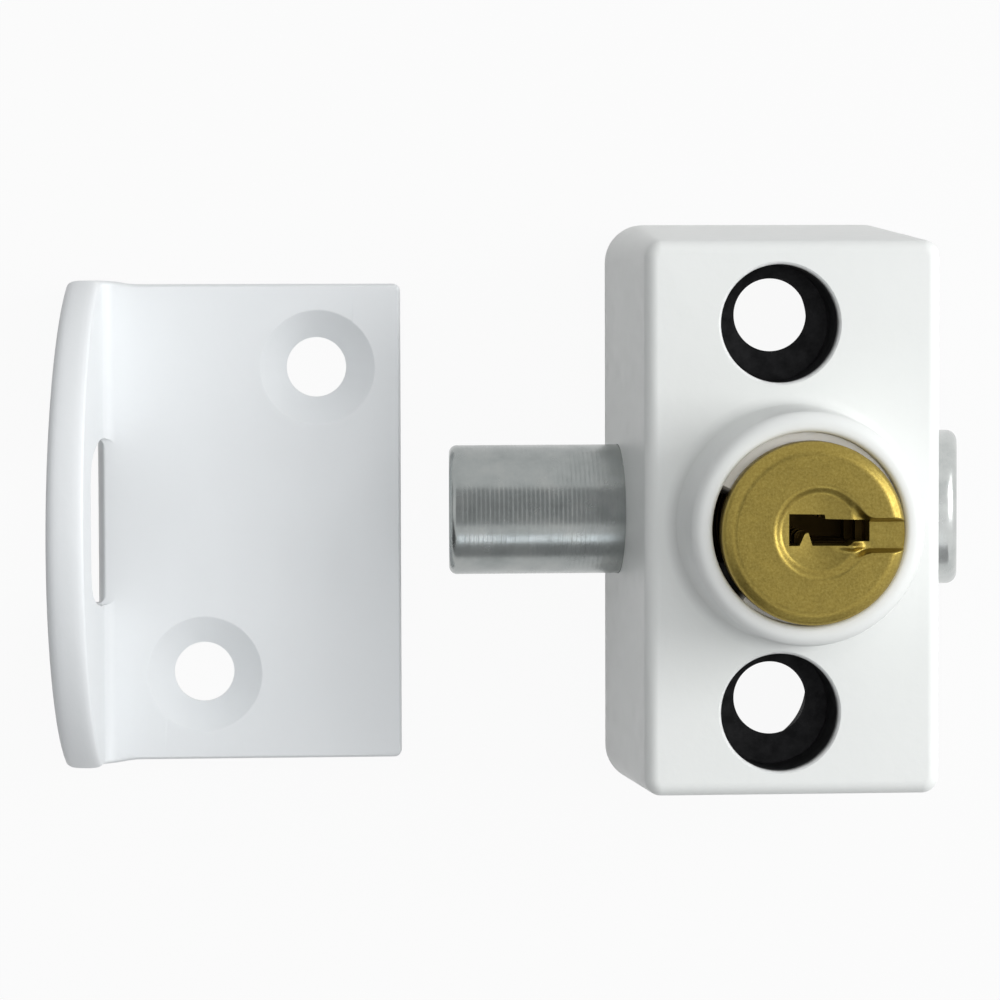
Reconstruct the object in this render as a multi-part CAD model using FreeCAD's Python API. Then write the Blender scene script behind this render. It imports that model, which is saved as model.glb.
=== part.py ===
import FreeCAD, Part
import math
import os

# Sash window bolt: a lock body with a sprung round bolt and a key cylinder, and its separate keep plate.
# Millimetres. The lock body lies on its mounting face, z = 0, with its centre at the origin.
# +X is the way back along the bolt, towards its button. +Y is up the window stile. +Z points into the room.

V = FreeCAD.Vector
OUT = "parts"
os.makedirs(OUT, exist_ok=True)

# Lock body casting
body_depth = 22.7
face_width = 22.1
face_height = 41.3
base_width = 23.6
base_height = 44.2
base_corner_r = 3.0
face_corner_r = 1.2
face_edge_r = 0.9

# Round collar on the face, round the key cylinder
cylinder_length = 12.45
collar_rim_r = 8.6
collar_foot_r = 8.85
collar_foot_blend = 0.9
rim_outer_round = 0.6
rim_inner_round = 0.35
cylinder_y = -0.35
sleeve_bore_r = 7.05

# Fixing screw holes through the body
screw_line_x = -1.0
screw_spacing = 29.0
screw_hole_r = 2.8
screw_head_bore_r = 4.4
screw_head_bore_depth = 5.7
screw_web = 2.5
web_hole_up = 0.6
core_r = 4.8
core_right = 0.5

# Bolt and its return spring
bolt_axis_z = 7.2
bolt_r = 5.0
bolt_head_r = 6.0
bolt_throw = 13.4
bolt_projection = 12.65
button_projection = 2.7
bolt_tip_round = 0.5
button_round = 0.35
bolt_clearance = 0.05
neck_r = 4.8
neck_length = 2.4
spring_wire = 0.6
spring_turns = 4
spring_seat = 5.2
spring_side_gap = 0.3
spring_end_flat = 0.02

# Mechanism pocket, open at the back and closed by the back plate
pocket_left_wall = 2.3
pocket_right_wall = 2.5
pocket_half_height = 8.3
back_plate_t = 0.8
back_plate_edge = 0.9
back_plate_height = 24.6
back_plate_corner_r = 1.5
plate_gap = 0.05
plate_screw_in_left = 1.7
plate_screw_in_right = 2.65
plate_screw_in_y = 1.8
plate_screw_r = 0.9
plate_screw_head_r = 1.65
plate_screw_length = 6.0
cross_reach = 1.2
cross_half = 0.3

# Stop pin in a slot under the bolt
stop_pin_r = 0.8
stop_pin_top = 2.7
stop_slot_floor = 2.95
stop_gap = 0.05

# Key cylinder
plug_proud = 1.5
plug_head_r = 6.64
plug_face_r = 5.75
plug_head_side = 0.9
plug_barrel_r = 6.0
plug_clearance = 0.05
tail_r = 2.0
sleeve_seat_gap = 0.02
sleeve_top_gap = 0.12
washer_r = 4.5
washer_t = 0.25
web_t = 1.5
dish_x = 0.66
dish_r = 3.4
dish_floor_r = 2.8
dish_depth = 0.8
finger_groove_width = 2.55
finger_groove_depth = 1.15
keyway_left = 1.64
keyway_right = 4.4
keyway_width = 2.3
keyway_step_x = 1.05
keyway_step = 0.4
ward_x = -0.25
ward_r = 0.5
ward_height = 0.95

# Wafers and their springs
wafer_count = 5
wafer_t = 0.9
wafer_pitch = 1.9
wafer_width = 5.0
wafer_gap = 0.03
wafer_cut_steps = (0.0, 0.5, 0.25, 0.75, 0.5)
wafer_first_depth = 2.3
wafer_tab_x = 0.9
wafer_tab_width = 0.8
wafer_tab_reach = 1.9
wafer_spring_wire = 0.24
wafer_spring_r = 0.5
wafer_spring_turns = 4
wafer_spring_length = 3.0
wafer_spring_y = -3.6
sleeve_slot_margin = 0.6

# Latch spring and lifting cam between the cylinder and the bolt
cam_r = 3.6
cam_gap = 0.25
cam_t = 1.65
cam_track_r = 2.35
cam_lift = 1.1
cam_ramp_start = 0.9
cam_ramp_run = 2.7
cam_screw_r = 0.9
cam_screw_head_r = 1.7
cam_screw_length = 4.2
cam_screw_slot = 0.4
latch_t = 0.3
latch_left = 4.2
latch_right = 4.4
latch_arm_left = 2.4
latch_arm_top = 3.4
latch_arm_end = 0.8
latch_lug_half = 2.5
latch_lug_gap = 0.15
latch_toe = 0.9
latch_seat_depth = 2.0
latch_screw_r = 0.6
latch_screw_head_r = 0.95
latch_screw_head_t = 0.5
latch_screw_length = 2.0
latch_screw_slot = 0.3
latch_screw_x = 2.4
lug_stop_z = 14.8
roof_gap = 0.2

# Keep plate
keep_from_bolt = 3.65
keep_width = 23.38
keep_centre_y = -1.13
keep_height = 37.3
keep_t = 2.6
keep_lean_deg = 4.7
keep_bend_r = 1.0
keep_crown_z = 18.5
keep_crown_r = 19.75
keep_horn_r = 1.6
keep_corner_r = 0.5
keep_hole_r = 2.35
keep_countersink_r = 4.5
keep_hole_right = 6.55
keep_hole_pitch_x = 8.94
keep_hole_pitch_y = 24.0
keep_hole_mid_y = 0.11
keep_slot_length = 13.0
keep_slot_mid_y = 0.15
keep_slot_top = 12.8
keep_slot_foot_lean = 0.45
keep_slot_corner_r = 1.2

# Worked out from the sizes above
body_left = -base_width / 2
body_right = base_width / 2
pocket_left = body_left + pocket_left_wall
pocket_right = body_right - pocket_right_wall
plate_left = pocket_left - back_plate_edge
plate_right = body_right - back_plate_edge / 2
bolt_tip_x = body_left - bolt_projection
bolt_end_x = body_right + button_projection
keep_right_x = bolt_tip_x - keep_from_bolt
keep_bend_x = keep_right_x - keep_width
shoulder_x = pocket_left + spring_seat
head_top = bolt_axis_z + bolt_head_r
cam_z = head_top + cam_gap
latch_z = cam_z + cam_t + plug_clearance
roof_z = latch_z + latch_t + cam_lift + roof_gap
barrel_seat_z = roof_z + web_t
rim_z = barrel_seat_z + cylinder_length
plug_face_z = rim_z + plug_proud
barrel_z = barrel_seat_z + washer_t + plug_clearance
head_z = plug_face_z - plug_head_side - (plug_head_r - plug_face_r) - plug_proud / 2
wafer_tab_y = -wafer_width / 2 - wafer_tab_reach
lug_x = latch_right - latch_t
neck_x = lug_x - plug_clearance * 2


def box(x0, y0, z0, x1, y1, z1):
    return Part.makeBox(x1 - x0, y1 - y0, z1 - z0, V(x0, y0, z0))


def rod(radius, z0, z1, x=0.0, y=0.0):
    return Part.makeCylinder(radius, z1 - z0, V(x, y, z0), V(0, 0, 1))


def bar(radius, x0, x1, y=0.0, z=0.0):
    return Part.makeCylinder(radius, x1 - x0, V(x0, y, z), V(1, 0, 0))


def cone(r0, r1, z0, z1, x=0.0, y=0.0):
    return Part.makeCone(r0, r1, z1 - z0, V(x, y, z0), V(0, 0, 1))


def rounded_wire(width, height, radius, z, x=0.0, y=0.0):
    w = width / 2 - radius
    h = height / 2 - radius
    edges = []
    for turn, (cx, cy) in enumerate(((w, h), (-w, h), (-w, -h), (w, -h))):
        start = math.radians(90 * turn)
        points = []
        for step in (0, 45, 90):
            angle = start + math.radians(step)
            points.append(V(x + cx + radius * math.cos(angle), y + cy + radius * math.sin(angle), z))
        if edges:
            edges.append(Part.makeLine(edges[-1].Vertexes[-1].Point, points[0]))
        edges.append(Part.Arc(*points).toShape())
    edges.append(Part.makeLine(edges[-1].Vertexes[-1].Point, edges[0].Vertexes[0].Point))
    return Part.Wire(edges)


def rounded_plate(width, height, radius, z0, z1, x=0.0, y=0.0):
    face = Part.Face(rounded_wire(width, height, radius, z0, x, y))
    return face.extrude(V(0, 0, z1 - z0))


def prism_y(points, y0, y1):
    wire = Part.makePolygon([V(px, y0, pz) for px, pz in points] + [V(points[0][0], y0, points[0][1])])
    return Part.Face(wire).extrude(V(0, y1 - y0, 0))


def edges_at(shape, test):
    return [edge for edge in shape.Edges if test(edge)]


def biarc(start, end, start_dir, end_dir):
    # two arcs that meet smoothly between two points, with the given directions at both ends
    across = end - start
    both = start_dir + end_dir
    spread = 2 * (1 - start_dir.dot(end_dir))
    reach = (-across.dot(both) + math.sqrt(across.dot(both) ** 2 + spread * across.dot(across))) / spread
    middle = (start + end) * 0.5 + (start_dir - end_dir) * (reach / 2)
    arcs = []
    for a, b, corner in ((start, middle, start + start_dir * reach), (middle, end, end - end_dir * reach)):
        chord = b - a
        foot = (a + b) * 0.5
        tilt = (corner - a).getAngle(chord)
        rise = (corner - foot).normalize() * (chord.Length / 2 * math.tan(tilt / 2))
        arcs.append(Part.Arc(a, foot + rise, b).toShape())
    return arcs


def spring_x(radius, wire, turns, x0, x1, y, z):
    # one unbroken tube of quarter-turn biarcs, wound about a line along X
    pitch = (x1 - x0) / turns
    quarters = turns * 4

    def place(quarter):
        angle = math.pi / 2 * quarter
        return V(x0 + pitch * quarter / 4, y + radius * math.cos(angle), z + radius * math.sin(angle))

    def heading(quarter):
        angle = math.pi / 2 * quarter
        across = 2 * math.pi * radius
        return V(pitch, -across * math.sin(angle), across * math.cos(angle)).normalize()

    edges = []
    for quarter in range(quarters):
        edges += biarc(place(quarter), place(quarter + 1), heading(quarter), heading(quarter + 1))
    section = Part.Wire([Part.Circle(place(0), heading(0), wire / 2).toShape()])
    coil = Part.Wire(edges).makePipeShell([section], True, True)
    least = pitch * math.cos(math.atan(pitch / (2 * math.pi * radius))) - wire
    print("spring of", turns, "turns, least gap to itself", round(least, 3))
    return coil


def screw_points():
    return [(screw_line_x, side * screw_spacing / 2) for side in (1, -1)]


def core_points():
    return [(x + core_right, y) for x, y in screw_points()]


def latch_screw_points():
    return [(side * latch_screw_x, pocket_half_height - latch_seat_depth / 2) for side in (1, -1)]


def plate_screw_points():
    y = back_plate_height / 2 - plate_screw_in_y
    columns = (plate_left + plate_screw_in_left, plate_right - plate_screw_in_right)
    return [(x, side * y) for x in columns for side in (1, -1)]


def collar():
    # turned outline of the collar: foot blend, tapered wall and rounded rim
    foot = body_depth
    arc = math.sqrt(0.5)
    blend = collar_foot_blend
    outer = rim_outer_round
    start = V(0, 0, foot - 1)
    outline = [Part.makeLine(start, V(collar_foot_r + blend, 0, foot - 1))]
    outline.append(Part.makeLine(V(collar_foot_r + blend, 0, foot - 1), V(collar_foot_r + blend, 0, foot)))
    hollow = V(collar_foot_r + blend, 0, foot + blend)
    outline.append(
        Part.Arc(
            V(collar_foot_r + blend, 0, foot),
            hollow + V(-blend * arc, 0, -blend * arc),
            V(collar_foot_r, 0, foot + blend),
        ).toShape()
    )
    outline.append(Part.makeLine(V(collar_foot_r, 0, foot + blend), V(collar_rim_r, 0, rim_z - outer)))
    crown = V(collar_rim_r - outer, 0, rim_z - outer)
    outline.append(
        Part.Arc(
            V(collar_rim_r, 0, rim_z - outer),
            crown + V(outer * arc, 0, outer * arc),
            V(collar_rim_r - outer, 0, rim_z),
        ).toShape()
    )
    outline.append(Part.makeLine(V(collar_rim_r - outer, 0, rim_z), V(0, 0, rim_z)))
    outline.append(Part.makeLine(V(0, 0, rim_z), start))
    ring = Part.Face(Part.Wire(outline)).revolve(V(0, 0, 0), V(0, 0, 1), 360)
    ring.translate(V(0, cylinder_y, 0))
    return ring


def rim_bore():
    # bore for the cylinder sleeve, with the rounded inner edge of the rim
    bore = rod(sleeve_bore_r, barrel_seat_z, rim_z + 1, 0, cylinder_y)
    inner = rim_inner_round
    arc = math.sqrt(0.5)
    low = V(sleeve_bore_r, 0, rim_z - inner)
    high = V(sleeve_bore_r + inner, 0, rim_z)
    crown = V(sleeve_bore_r + inner, 0, rim_z - inner)
    outline = [Part.Arc(low, crown + V(-inner * arc, 0, inner * arc), high).toShape()]
    outline.append(Part.makeLine(high, V(sleeve_bore_r + inner, 0, rim_z + 1)))
    outline.append(Part.makeLine(V(sleeve_bore_r + inner, 0, rim_z + 1), V(0, 0, rim_z + 1)))
    outline.append(Part.makeLine(V(0, 0, rim_z + 1), V(0, 0, rim_z - inner)))
    outline.append(Part.makeLine(V(0, 0, rim_z - inner), low))
    mouth = Part.Face(Part.Wire(outline)).revolve(V(0, 0, 0), V(0, 0, 1), 360)
    mouth.translate(V(0, cylinder_y, 0))
    return bore.fuse(mouth)


def lock_body():
    base = rounded_wire(base_width, base_height, base_corner_r, 0)
    face = rounded_wire(face_width, face_height, face_corner_r, body_depth)
    shell = Part.makeLoft([base, face], True, True)
    rim = edges_at(shell, lambda e: all(abs(v.Z - body_depth) < 1e-4 for v in e.Vertexes))
    shell = shell.makeFillet(face_edge_r, rim)
    shell = shell.fuse(collar())
    # mechanism pocket, with the latch spring's seat and the stop behind its lug left standing
    pocket = box(pocket_left, -pocket_half_height, -1, pocket_right, pocket_half_height, roof_z)
    seat = box(
        -latch_left,
        pocket_half_height - latch_seat_depth,
        latch_z + latch_t,
        latch_right,
        pocket_half_height + 1,
        roof_z + 1,
    )
    lug_stop = box(
        latch_right + plug_clearance,
        -latch_lug_half,
        lug_stop_z,
        pocket_right + 1,
        latch_lug_half,
        roof_z + 1,
    )
    shell = shell.cut(pocket.cut(seat).cut(lug_stop))
    shell = shell.cut(plate_blank(plate_gap, back_plate_t))
    # bores for the bolt's nose and head
    nose = bar(bolt_r + bolt_clearance, body_left - 1, pocket_left + 1, 0, bolt_axis_z)
    head = bar(bolt_head_r + bolt_clearance, pocket_right - 1, body_right + 1, 0, bolt_axis_z)
    shell = shell.cut(nose).cut(head)
    # cylinder bore and the hole for its tail
    shell = shell.cut(rim_bore())
    shell = shell.cut(rod(tail_r + plug_clearance, roof_z - 1, barrel_seat_z + 1, 0, cylinder_y))
    # fixing screw holes: head bore from the front, core from the back, web between them
    floor = body_depth - screw_head_bore_depth
    for x, y in core_points():
        shell = shell.cut(rod(core_r, -1, floor - screw_web, x, y))
    for x, y in screw_points():
        shell = shell.cut(rod(screw_head_bore_r, floor, body_depth + 1, x, y))
        shell = shell.cut(rod(screw_hole_r, 0, body_depth, x, y + web_hole_up))
    for x, y in plate_screw_points():
        shell = shell.cut(rod(plate_screw_r, 0, plate_screw_length, x, y))
    for x, y in latch_screw_points():
        shell = shell.cut(rod(latch_screw_r, latch_z, latch_z + latch_screw_length, x, y))
    return shell.cut(rod(stop_pin_r, 0, stop_pin_top, stop_pin_x(), 0))


def stop_pin_x():
    return (pocket_right + body_right) / 2


def plate_blank(gap, thickness):
    blank = rounded_plate(
        plate_right - plate_left + 2 * gap,
        back_plate_height + 2 * gap,
        back_plate_corner_r,
        0,
        thickness,
        (plate_left + plate_right) / 2,
    )
    for x, y in core_points():
        blank = blank.cut(rod(core_r + back_plate_edge - gap, -1, thickness + 1, x, y))
    return blank


def back_plate():
    plate = plate_blank(0, back_plate_t)
    for x, y in plate_screw_points():
        plate = plate.cut(cone(plate_screw_head_r, plate_screw_r, 0, back_plate_t, x, y))
    return plate


def back_plate_screws():
    screws = []
    for x, y in plate_screw_points():
        head = cone(plate_screw_head_r, plate_screw_r, 0, back_plate_t, x, y)
        screw = head.fuse(rod(plate_screw_r, back_plate_t, plate_screw_length, x, y))
        for sx, sy in ((cross_reach, cross_half), (cross_half, cross_reach)):
            screw = screw.cut(box(x - sx, y - sy, -1, x + sx, y + sy, back_plate_t / 2))
        screws.append(screw)
    return Part.makeCompound(screws)


def bolt_stop_pin():
    return rod(stop_pin_r, back_plate_t, stop_pin_top, stop_pin_x(), 0)


def bolt():
    nose = bar(bolt_r, bolt_tip_x, shoulder_x + 1, 0, bolt_axis_z)
    tip = edges_at(nose, lambda e: all(abs(v.X - bolt_tip_x) < 1e-4 for v in e.Vertexes))
    nose = nose.makeFillet(bolt_tip_round, tip)
    head = bar(bolt_head_r, shoulder_x, bolt_end_x, 0, bolt_axis_z)
    end = edges_at(head, lambda e: all(abs(v.X - bolt_end_x) < 1e-4 for v in e.Vertexes))
    head = head.makeFillet(button_round, end)
    groove = bar(bolt_head_r + 1, neck_x, neck_x + neck_length, 0, bolt_axis_z)
    groove = groove.cut(bar(neck_r, neck_x - 1, neck_x + neck_length + 1, 0, bolt_axis_z))
    piece = nose.fuse(head).cut(groove)
    # slot under the bolt for the stop pin: its ends are the two ends of the throw
    reach = stop_pin_r + stop_gap
    left = stop_pin_x() - reach - bolt_throw
    right = stop_pin_x() + reach
    slot = box(left, -reach, 0, right, reach, stop_slot_floor)
    return piece.cut(slot)


def return_spring():
    mean_r = bolt_r + spring_side_gap + spring_wire / 2
    x0 = pocket_left + spring_wire / 2 + spring_end_flat
    x1 = shoulder_x - spring_wire / 2 - spring_end_flat
    return spring_x(mean_r, spring_wire, spring_turns, x0, x1, 0, bolt_axis_z)


def latch_spring():
    # flat spring screwed down at its upper end; its arm passes the cylinder's tail and ends in a folded lug
    seat_y = pocket_half_height - plate_gap
    top = latch_z + latch_t
    strip = box(-latch_left, latch_arm_top, latch_z, latch_right, seat_y, top)
    strip = strip.fuse(box(latch_arm_left, cylinder_y - latch_arm_end, latch_z, latch_right, seat_y, top))
    tip_z = bolt_axis_z + bolt_r + latch_lug_gap
    diagonal = latch_t * math.sqrt(0.5)
    fold = latch_t * (math.sqrt(2) - 1)
    lug = prism_y(
        (
            (lug_x, top),
            (lug_x, tip_z),
            (lug_x + fold, tip_z),
            (lug_x + fold + latch_toe, tip_z + latch_toe),
            (lug_x + fold + latch_toe - diagonal, tip_z + latch_toe + diagonal),
            (latch_right, tip_z + latch_t * 2),
            (latch_right, top),
        ),
        -latch_lug_half,
        latch_lug_half,
    )
    strip = strip.fuse(lug)
    for x, y in latch_screw_points():
        strip = strip.cut(rod(latch_screw_r, latch_z - 1, top + 1, x, y))
    return strip.removeSplitter()


def latch_screws():
    screws = []
    half = latch_screw_slot / 2
    for x, y in latch_screw_points():
        head = rod(latch_screw_head_r, latch_z - latch_screw_head_t, latch_z, x, y)
        screw = head.fuse(rod(latch_screw_r, latch_z, latch_z + latch_screw_length, x, y))
        slot = box(x - 2, y - half, latch_z - 1, x + 2, y + half, latch_z - latch_screw_head_t / 2)
        screws.append(screw.cut(slot))
    return Part.makeCompound(screws)


def plug_sleeve():
    top = head_z - sleeve_top_gap
    sleeve = rod(sleeve_bore_r - sleeve_seat_gap, barrel_seat_z, top, 0, cylinder_y)
    sleeve = sleeve.cut(rod(plug_barrel_r + plug_clearance, barrel_seat_z - 1, top + 1, 0, cylinder_y))
    half = wafer_width / 2 + wafer_gap * 2
    low = wafer_z(wafer_count - 1) - sleeve_slot_margin
    high = wafer_z(0) + wafer_t + wafer_gap * 2
    slot = box(-sleeve_bore_r - 1, cylinder_y - half, low, sleeve_bore_r + 1, cylinder_y + half, high)
    return sleeve.cut(slot)


def plug_washer():
    ring = rod(washer_r, barrel_seat_z, barrel_seat_z + washer_t, 0, cylinder_y)
    return ring.cut(rod(tail_r + plug_clearance, barrel_seat_z - 1, barrel_seat_z + 1, 0, cylinder_y))


def wafer_z(index):
    return plug_face_z - dish_depth - wafer_first_depth - wafer_t - index * wafer_pitch


def keyway(z0, z1):
    half = keyway_width / 2
    upper = half - keyway_step
    outline = (
        (-keyway_left, -half),
        (keyway_right, -half),
        (keyway_right, upper),
        (keyway_step_x, upper),
        (keyway_step_x, half),
        (-keyway_left, half),
    )
    points = [V(x, cylinder_y + y, z0) for x, y in outline]
    slot = Part.Face(Part.makePolygon(points + [points[0]])).extrude(V(0, 0, z1 - z0))
    ward_top = cylinder_y - half + ward_height - ward_r
    ward = rod(ward_r, z0 - 1, z1 + 1, ward_x, ward_top)
    ward = ward.fuse(box(ward_x - ward_r, cylinder_y - half - 1, z0 - 1, ward_x + ward_r, ward_top, z1 + 1))
    return slot.cut(ward)


def dish():
    # shallow recess round the keyway, with a rounded wall
    floor = plug_face_z - dish_depth
    wall = dish_r - dish_floor_r
    bow = V(dish_floor_r + wall * 0.8, 0, floor + dish_depth * 0.45)
    outline = [Part.makeLine(V(0, 0, floor), V(dish_floor_r, 0, floor))]
    outline.append(Part.Arc(V(dish_floor_r, 0, floor), bow, V(dish_r, 0, plug_face_z)).toShape())
    outline.append(Part.makeLine(V(dish_r, 0, plug_face_z), V(dish_r, 0, plug_face_z + 1)))
    outline.append(Part.makeLine(V(dish_r, 0, plug_face_z + 1), V(0, 0, plug_face_z + 1)))
    outline.append(Part.makeLine(V(0, 0, plug_face_z + 1), V(0, 0, floor)))
    recess = Part.Face(Part.Wire(outline)).revolve(V(0, 0, 0), V(0, 0, 1), 360)
    recess.translate(V(dish_x, cylinder_y, 0))
    return recess


def wafer_spring_room(index):
    # drilled pocket for one wafer spring, and the slot in which the wafer's tab travels
    z = wafer_z(index) + wafer_t / 2
    room_r = wafer_spring_r + wafer_spring_wire
    x1 = wafer_tab_x - wafer_tab_width / 2
    drilled = bar(room_r, x1 - wafer_spring_length - 0.1, x1 + wafer_tab_width, cylinder_y + wafer_spring_y, z)
    tab_room = box(
        x1 - wafer_gap,
        cylinder_y + wafer_tab_y - wafer_gap,
        z - wafer_t / 2 - wafer_gap,
        x1 + wafer_tab_width * 2,
        cylinder_y,
        z + wafer_t / 2 + wafer_gap,
    )
    return drilled.fuse(tab_room)


def lock_plug():
    barrel = rod(plug_barrel_r, barrel_z, head_z + plug_clearance, 0, cylinder_y)
    side_top = plug_face_z - plug_proud / 2 - (plug_head_r - plug_face_r)
    head = rod(plug_head_r, head_z, side_top, 0, cylinder_y)
    crown = cone(plug_head_r, plug_face_r, side_top, plug_face_z, 0, cylinder_y)
    tail = rod(tail_r, cam_z + cam_t, barrel_z, 0, cylinder_y)
    piece = barrel.fuse(head).fuse(crown).fuse(tail)
    piece = piece.cut(dish())
    half = finger_groove_width / 2
    groove = box(
        dish_x + dish_floor_r * 0.7,
        cylinder_y - half,
        plug_face_z - finger_groove_depth,
        plug_head_r + 1,
        cylinder_y + half,
        plug_face_z + 1,
    )
    piece = piece.cut(groove)
    piece = piece.cut(keyway(wafer_z(wafer_count - 1) - wafer_pitch / 2, plug_face_z + 1))
    for index in range(wafer_count):
        z = wafer_z(index)
        half = wafer_width / 2 + wafer_gap
        slot = box(
            -plug_head_r,
            cylinder_y - half,
            z - wafer_gap,
            plug_head_r,
            cylinder_y + half,
            z + wafer_t + wafer_gap,
        )
        piece = piece.cut(slot).cut(wafer_spring_room(index))
    return piece.cut(rod(cam_screw_r, cam_z, cam_z + cam_screw_length, 0, cylinder_y))


def wafer(index):
    # each wafer's window sits at its own height, so that only the right key draws all of them in
    z = wafer_z(index)
    blank = rod(plug_barrel_r - plug_clearance, z, z + wafer_t, 0, cylinder_y)
    half = wafer_width / 2
    strip = box(-plug_head_r, cylinder_y - half, z, plug_head_r, cylinder_y + half, z + wafer_t)
    tab = box(
        wafer_tab_x - wafer_tab_width / 2,
        cylinder_y + wafer_tab_y,
        z,
        wafer_tab_x + wafer_tab_width / 2,
        cylinder_y,
        z + wafer_t,
    )
    blank = blank.common(strip.fuse(tab))
    cut = wafer_cut_steps[index]
    window = box(
        -keyway_left - wafer_gap,
        cylinder_y - keyway_width / 2 - wafer_gap,
        z - 1,
        keyway_right - cut,
        cylinder_y + keyway_width / 2 + wafer_gap,
        z + wafer_t + 1,
    )
    return blank.cut(window)


def wafer_springs():
    springs = []
    x1 = wafer_tab_x - wafer_tab_width / 2 - wafer_spring_wire / 2 - plug_clearance
    for index in range(wafer_count):
        z = wafer_z(index) + wafer_t / 2
        x0 = x1 - wafer_spring_length + wafer_spring_wire + plug_clearance
        springs.append(
            spring_x(
                wafer_spring_r,
                wafer_spring_wire,
                wafer_spring_turns,
                x0,
                x1,
                cylinder_y + wafer_spring_y,
                z,
            )
        )
    return Part.makeCompound(springs)


def cam_ramp():
    # a quarter of the track, planed so that a quarter turn of the key climbs from the disc to the full lift
    top = cam_z + cam_t
    track = rod(cam_r, top, top + cam_lift).cut(rod(cam_track_r, top - 1, top + cam_lift + 1))
    quarter = track.common(box(0, -cam_r, top, cam_r, 0, top + cam_lift))
    corners = (
        (-cam_ramp_start, top),
        (-cam_ramp_start - cam_ramp_run, top + cam_lift),
        (-cam_ramp_start - cam_ramp_run, top + cam_lift + 1),
        (1, top + cam_lift + 1),
        (1, top),
    )
    points = [V(0, y, z) for y, z in corners]
    planed = Part.Face(Part.makePolygon(points + [points[0]])).extrude(V(cam_r + 1, 0, 0))
    ramp = quarter.cut(planed)
    ramp.translate(V(0, cylinder_y, 0))
    return ramp


def lift_cam():
    disc = rod(cam_r, cam_z, cam_z + cam_t, 0, cylinder_y).fuse(cam_ramp())
    disc = disc.cut(rod(cam_screw_r, cam_z - 1, cam_z + cam_t + 1, 0, cylinder_y))
    sink = cone(cam_screw_head_r, cam_screw_r, cam_z, cam_z + cam_screw_head_r - cam_screw_r, 0, cylinder_y)
    return disc.cut(sink)


def cam_screw():
    head_depth = cam_screw_head_r - cam_screw_r
    head = cone(cam_screw_head_r, cam_screw_r, cam_z, cam_z + head_depth, 0, cylinder_y)
    screw = head.fuse(rod(cam_screw_r, cam_z + head_depth, cam_z + cam_screw_length, 0, cylinder_y))
    half = cam_screw_slot / 2
    slot = box(-2, cylinder_y - half, cam_z - 1, 2, cylinder_y + half, cam_z + head_depth / 2)
    return screw.cut(slot)


def keep_section():
    # side outline of the folded strip: flat plate, bend, and the flange that leans out a little
    lean = math.radians(keep_lean_deg)
    rise = V(-math.sin(lean), 0, math.cos(lean))
    out = V(-math.cos(lean), 0, -math.sin(lean))
    corner = V(keep_bend_x, 0, keep_t)
    setback = keep_bend_r * math.tan((math.pi / 2 - lean) / 2)
    centre = corner + V(setback, 0, keep_bend_r)
    top = (keep_crown_z + keep_t) / math.cos(lean)
    sweep = (V(0, 0, -1) + out).normalize()
    outer_r = keep_bend_r + keep_t
    flat_in = corner + V(setback, 0, 0)
    flange_in = corner + rise * setback
    points = {
        "start": V(keep_right_x, 0, 0),
        "start_top": V(keep_right_x, 0, keep_t),
        "inner_top": corner + rise * top,
        "outer_top": corner + rise * top + out * keep_t,
        "outer_foot": flange_in + out * keep_t,
        "flat_foot": flat_in - V(0, 0, keep_t),
    }
    edges = [
        Part.makeLine(points["start"], points["start_top"]),
        Part.makeLine(points["start_top"], flat_in),
        Part.Arc(flat_in, centre + sweep * keep_bend_r, flange_in).toShape(),
        Part.makeLine(flange_in, points["inner_top"]),
        Part.makeLine(points["inner_top"], points["outer_top"]),
        Part.makeLine(points["outer_top"], points["outer_foot"]),
        Part.Arc(points["outer_foot"], centre + sweep * outer_r, points["flat_foot"]).toShape(),
        Part.makeLine(points["flat_foot"], points["start"]),
    ]
    return Part.Face(Part.Wire(edges))


def keep_crown_end():
    # height at which the arched edge meets the two ends of the flange
    return keep_crown_z - keep_crown_r + math.sqrt(keep_crown_r**2 - (keep_height / 2) ** 2)


def keep_arch():
    # everything above the flange's arched free edge, as one tool
    reach = 2 * keep_crown_z
    disc = bar(
        keep_crown_r,
        keep_bend_x - reach,
        keep_bend_x + reach,
        keep_centre_y,
        keep_crown_z - keep_crown_r,
    )
    above = box(
        keep_bend_x - keep_crown_z,
        keep_centre_y - keep_height,
        keep_crown_end(),
        keep_bend_x + keep_crown_z,
        keep_centre_y + keep_height,
        keep_crown_z * 2,
    )
    return above.cut(disc)


def keep_slot():
    # opening for the bolt: its way in is level with the plate, and outside the fold it is open down to the back
    y = keep_centre_y + keep_slot_mid_y
    half = keep_slot_length / 2
    foot = keep_bend_x - keep_slot_foot_lean
    far = keep_bend_x - keep_t * 3
    fold_start = keep_bend_x + keep_bend_r
    profile = (
        (foot, 0),
        (foot, -1),
        (far, -1),
        (far, keep_slot_top),
        (fold_start, keep_slot_top),
        (fold_start, keep_t),
        (keep_bend_x, keep_t),
    )
    opening = prism_y(profile, y - half, y + half)
    top = edges_at(opening, lambda e: e.CenterOfMass.z > keep_slot_top - 1e-4)
    corners = [e for e in top if abs(abs(e.CenterOfMass.y - y) - half) < 1e-4]
    return opening.makeFillet(keep_slot_corner_r, corners)


def keep_hole_points():
    mid_x = keep_right_x - keep_hole_right - keep_hole_pitch_x / 2
    mid_y = keep_centre_y + keep_hole_mid_y
    return [(mid_x + s * keep_hole_pitch_x / 2, mid_y + s * keep_hole_pitch_y / 2) for s in (1, -1)]


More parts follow.
